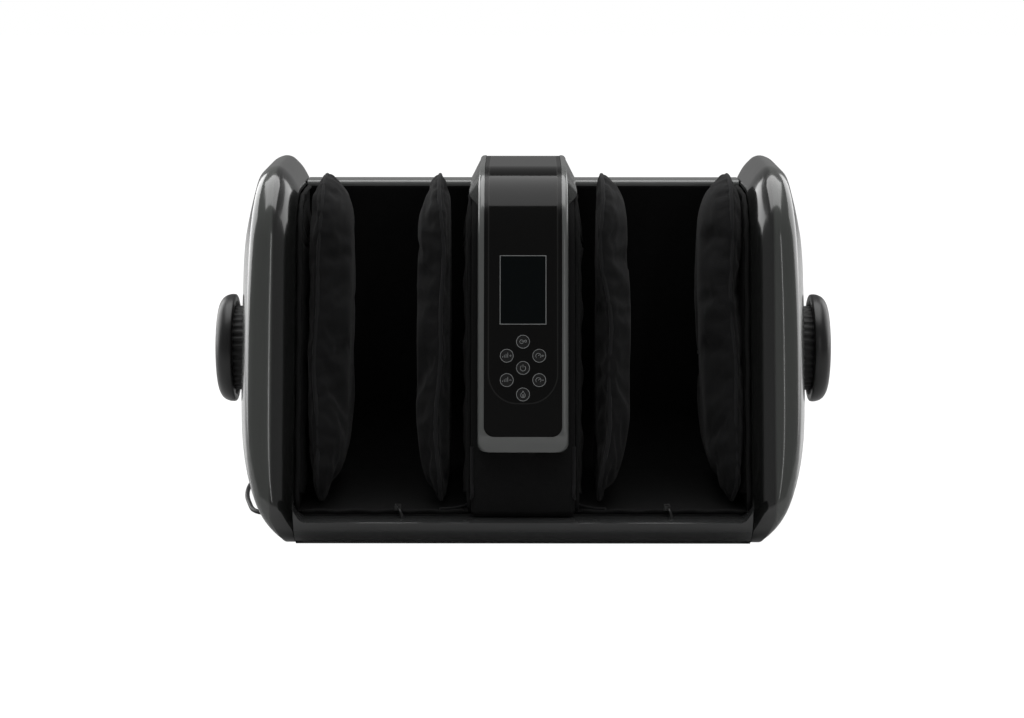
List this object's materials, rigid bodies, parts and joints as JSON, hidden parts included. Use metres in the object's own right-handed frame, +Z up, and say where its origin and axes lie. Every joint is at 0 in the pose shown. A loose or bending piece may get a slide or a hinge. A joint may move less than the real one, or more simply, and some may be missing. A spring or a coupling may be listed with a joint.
{
  "type": "foot massager",
  "caption": "Electric foot and calf massager with two open fabric-lined wells, fabric kneading pads on rocking wings, a console with keys between them, and round side knobs.",
  "frame": {"origin": "centre of the footprint, on the floor the feet stand on", "axes": "+X to the user's right, -Y towards the seated user, +Z up"},
  "size_m": [0.58, 0.4948, 0.335],
  "materials": {
    "grey_shell": "glossy dark grey moulded plastic",
    "panel_gloss": "high gloss black",
    "screen": "tinted display window",
    "key_cap": "black keys with pale printed rings and symbols",
    "knob_plastic": "satin black",
    "black_plastic": "fine textured black",
    "inner_plastic": "plain",
    "liner_fabric": "thin black knitted lining",
    "pad_fabric": "padded black fabric with a piped seam",
    "circuit_board": "solder mask",
    "steel": "plain sheet and bar",
    "motor_metal": "cast and drawn",
    "nylon": "natural nylon",
    "rubber": "matte black",
    "cord": "soft black sheath"
  },
  "bodies": {
    "housing": {"left_side_shell": "grey_shell", "right_side_shell": "grey_shell", "back_cover": "grey_shell", "front_lip": "grey_shell", "console_frame": "grey_shell", "panel_fascia": "panel_gloss", "display_lens": "screen", "display_module": "inner_plastic", "key_board": "circuit_board", "divider_cover": "liner_fabric", "left_well_liner": "liner_fabric", "right_well_liner": "liner_fabric", "base_tray": "black_plastic", "chassis": "steel", "power_supply": "circuit_board", "gearbox": "motor_metal", "drive_motor": "motor_metal", "strain_relief": "rubber", "cord_lead": "cord", "cord_coil": "cord", "plug": "cord", "left_knob_hub": "black_plastic", "left_bearing_block": "nylon", "left_front_foot": "rubber", "left_back_foot": "rubber", "right_knob_hub": "black_plastic", "right_bearing_block": "nylon", "right_front_foot": "rubber", "right_back_foot": "rubber"},
    "left_knob": {"left_knob": "knob_plastic", "left_knob_collar": "steel"},
    "right_knob": {"right_knob": "knob_plastic", "right_knob_collar": "steel"},
    "drive": {"drive_shaft": "steel", "left_inner_wobble_bush": "nylon", "left_outer_wobble_bush": "nylon", "right_inner_wobble_bush": "nylon", "right_outer_wobble_bush": "nylon"},
    "left_inner_kneader": {"left_inner_wing": "black_plastic", "left_inner_pad": "pad_fabric"},
    "left_outer_kneader": {"left_outer_wing": "black_plastic", "left_outer_pad": "pad_fabric"},
    "right_inner_kneader": {"right_inner_wing": "black_plastic", "right_inner_pad": "pad_fabric"},
    "right_outer_kneader": {"right_outer_wing": "black_plastic", "right_outer_pad": "pad_fabric"},
    "key_mode": {"key_mode": "key_cap"},
    "key_left_strength": {"key_left_strength": "key_cap"},
    "key_right_speed": {"key_right_speed": "key_cap"},
    "key_power": {"key_power": "key_cap"},
    "key_left_calf": {"key_left_calf": "key_cap"},
    "key_right_foot": {"key_right_foot": "key_cap"},
    "key_heat": {"key_heat": "key_cap"}
  },
  "joints": [
    {"name": "left_knob_turn", "type": "hinge", "parent": "housing", "child": "left_knob", "pos_m": [-0.2725, 0, 0.155], "axis": [1, 0, 0], "continuous": true},
    {"name": "right_knob_turn", "type": "hinge", "parent": "housing", "child": "right_knob", "pos_m": [0.2725, 0, 0.155], "axis": [1, 0, 0], "continuous": true},
    {"name": "drive_shaft_turn", "type": "hinge", "parent": "housing", "child": "drive", "pos_m": [0, 0.105, 0.165], "axis": [1, 0, 0], "continuous": true},
    {"name": "left_outer_knead", "type": "hinge", "parent": "housing", "child": "left_outer_kneader", "pos_m": [-0.1788, 0.105, 0.165], "axis": [0, 0, 1], "range_deg": [0, 4]},
    {"name": "left_inner_knead", "type": "hinge", "parent": "housing", "child": "left_inner_kneader", "pos_m": [-0.0797, 0.105, 0.165], "axis": [0, 0, 1], "range_deg": [-4, 0]},
    {"name": "right_inner_knead", "type": "hinge", "parent": "housing", "child": "right_inner_kneader", "pos_m": [0.0797, 0.105, 0.165], "axis": [0, 0, 1], "range_deg": [0, 4]},
    {"name": "right_outer_knead", "type": "hinge", "parent": "housing", "child": "right_outer_kneader", "pos_m": [0.1788, 0.105, 0.165], "axis": [0, 0, 1], "range_deg": [-4, 0]},
    {"name": "key_mode_press", "type": "slide", "parent": "housing", "child": "key_mode", "axis": [0, 0.9656, -0.2601], "range_m": [0, 0.0006], "stiffness_N_per_m": 600},
    {"name": "key_left_strength_press", "type": "slide", "parent": "housing", "child": "key_left_strength", "axis": [0, 0.9656, -0.2601], "range_m": [0, 0.0006], "stiffness_N_per_m": 600},
    {"name": "key_right_speed_press", "type": "slide", "parent": "housing", "child": "key_right_speed", "axis": [0, 0.9656, -0.2601], "range_m": [0, 0.0006], "stiffness_N_per_m": 600},
    {"name": "key_power_press", "type": "slide", "parent": "housing", "child": "key_power", "axis": [0, 0.9656, -0.2601], "range_m": [0, 0.0006], "stiffness_N_per_m": 600},
    {"name": "key_left_calf_press", "type": "slide", "parent": "housing", "child": "key_left_calf", "axis": [0, 0.9656, -0.2601], "range_m": [0, 0.0006], "stiffness_N_per_m": 600},
    {"name": "key_right_foot_press", "type": "slide", "parent": "housing", "child": "key_right_foot", "axis": [0, 0.9656, -0.2601], "range_m": [0, 0.0006], "stiffness_N_per_m": 600},
    {"name": "key_heat_press", "type": "slide", "parent": "housing", "child": "key_heat", "axis": [0, 0.9656, -0.2601], "range_m": [0, 0.0006], "stiffness_N_per_m": 600}
  ],
  "couplings": [
    {"joint": "left_inner_knead", "follows": "left_outer_knead", "ratio": -1},
    {"joint": "right_inner_knead", "follows": "left_outer_knead", "ratio": 1},
    {"joint": "right_outer_knead", "follows": "left_outer_knead", "ratio": -1}
  ]
}
